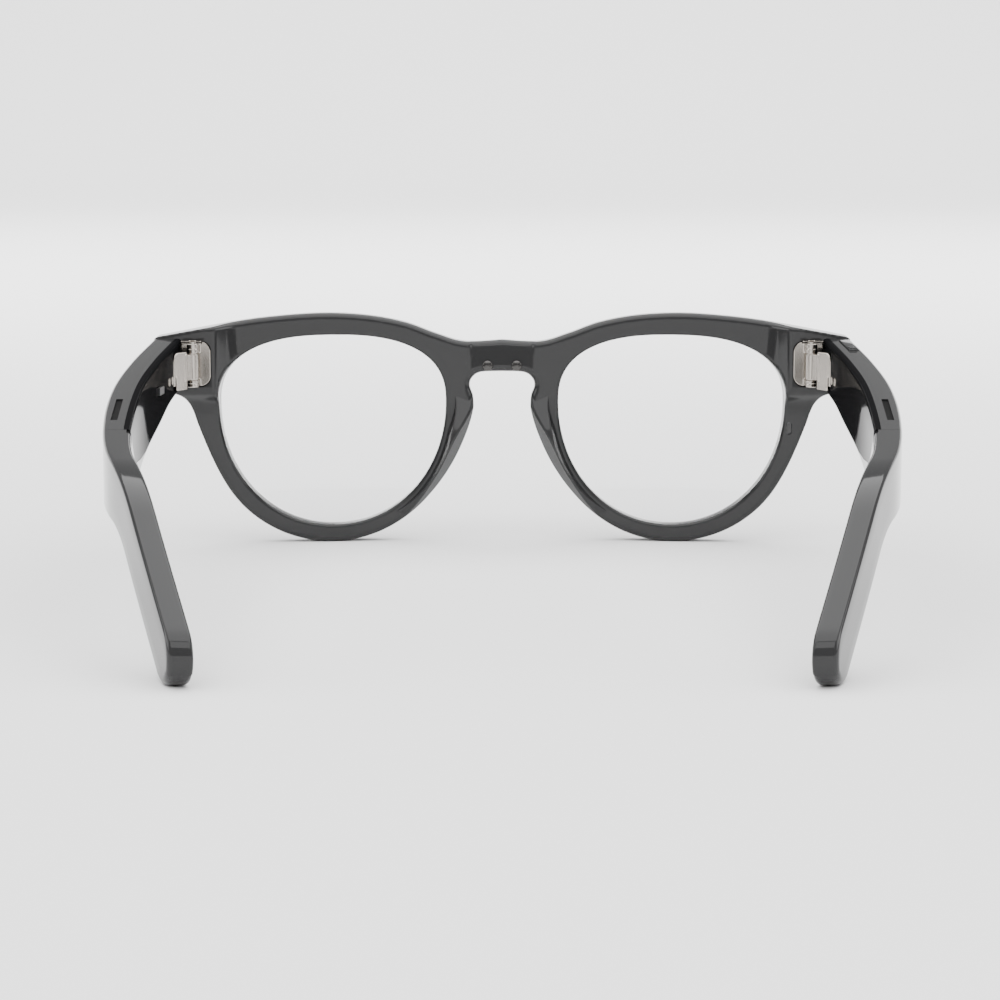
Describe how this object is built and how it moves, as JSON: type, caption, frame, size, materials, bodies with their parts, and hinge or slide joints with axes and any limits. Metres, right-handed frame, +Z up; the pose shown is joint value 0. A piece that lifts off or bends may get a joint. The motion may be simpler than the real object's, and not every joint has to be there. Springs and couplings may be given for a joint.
{
  "type": "smart glasses",
  "caption": "Round keyhole-bridge glasses with clear lenses, metal barrel hinges and hollow temples that fold and hold a battery, board, speakers, slider and capture button.",
  "frame": {"origin": "on the table under the middle of the whole object, with the temples open", "axes": "+X to the wearer's left, +Y back towards the wearer, +Z up"},
  "size_m": [0.1546, 0.1522, 0.0498],
  "materials": {
    "front_plastic": "polished opaque grey frame plastic",
    "cover_plastic": "polished near-black inner cover",
    "lens_clear": "clear lens with a faint grey tint",
    "window_glass": "dark round window",
    "bezel_metal": "black satin bezel",
    "hinge_metal": "warm nickel with a satin sheen",
    "screw_steel": "warm nickel screw head",
    "contact_metal": "gold-plated charging contact",
    "grille_metal": "black woven mesh grille",
    "module_black": "moulded black",
    "can_metal": "pressed metal can",
    "led_epoxy": "diffusing epoxy",
    "flex_film": "amber flexible circuit",
    "battery_foil": "foil pouch",
    "board_laminate": "green board laminate",
    "antenna_metal": "plated antenna strip"
  },
  "bodies": {
    "front": {"front_shell": "front_plastic", "rear_shell": "front_plastic", "lens_left": "lens_clear", "lens_right": "lens_clear", "nose_pad_left": "front_plastic", "nose_pad_right": "front_plastic", "camera_window": "window_glass", "camera_bezel": "bezel_metal", "camera_module": "module_black", "led_window": "window_glass", "led_bezel": "bezel_metal", "led_module": "module_black", "charging_contacts": "contact_metal", "bridge_microphone": "can_metal", "front_flex": "flex_film", "status_window": "window_glass", "status_led": "led_epoxy", "hinge_plate_left": "hinge_metal", "hinge_plate_right": "hinge_metal", "hinge_plate_screws_left": "screw_steel", "hinge_plate_screws_right": "screw_steel", "hinge_pin_left": "hinge_metal", "hinge_pin_right": "hinge_metal"},
    "temple_left": {"outer_shell_left": "front_plastic", "inner_cover_left": "cover_plastic", "rear_arm_left": "front_plastic", "hinge_leaf_left": "hinge_metal", "leaf_screws_left": "screw_steel", "speaker_left": "module_black", "speaker_grille_left": "grille_metal", "microphones_left": "can_metal", "battery": "battery_foil", "flex_left": "flex_film", "power_switch_body": "module_black"},
    "power_slider": {"power_slider": "module_black"},
    "temple_right": {"outer_shell_right": "front_plastic", "inner_cover_right": "cover_plastic", "rear_arm_right": "front_plastic", "hinge_leaf_right": "hinge_metal", "leaf_screws_right": "screw_steel", "speaker_right": "module_black", "speaker_grille_right": "grille_metal", "microphones_right": "can_metal", "main_board": "board_laminate", "shield_can": "can_metal", "touch_sensor": "flex_film", "antenna": "antenna_metal", "flex_right": "flex_film", "capture_switch": "module_black"},
    "capture_button": {"capture_button": "front_plastic"}
  },
  "joints": [
    {"name": "fold_left", "type": "hinge", "parent": "front", "child": "temple_left", "pos_m": [0.0657, -0.06092, 0.0393], "axis": [0, 0, 1], "range_deg": [0, 87]},
    {"name": "fold_right", "type": "hinge", "parent": "front", "child": "temple_right", "pos_m": [-0.0657, -0.06092, 0.0393], "axis": [0, 0, -1], "range_deg": [0, 80]},
    {"name": "power_switch_slide", "type": "slide", "parent": "temple_left", "child": "power_slider", "axis": [0.0731, 0.9973, 0], "range_m": [0, 0.002]},
    {"name": "capture_button_press", "type": "slide", "parent": "temple_right", "child": "capture_button", "axis": [0, -0.1305, -0.9914], "range_m": [0, 0.0003], "stiffness_N_per_m": 400}
  ]
}
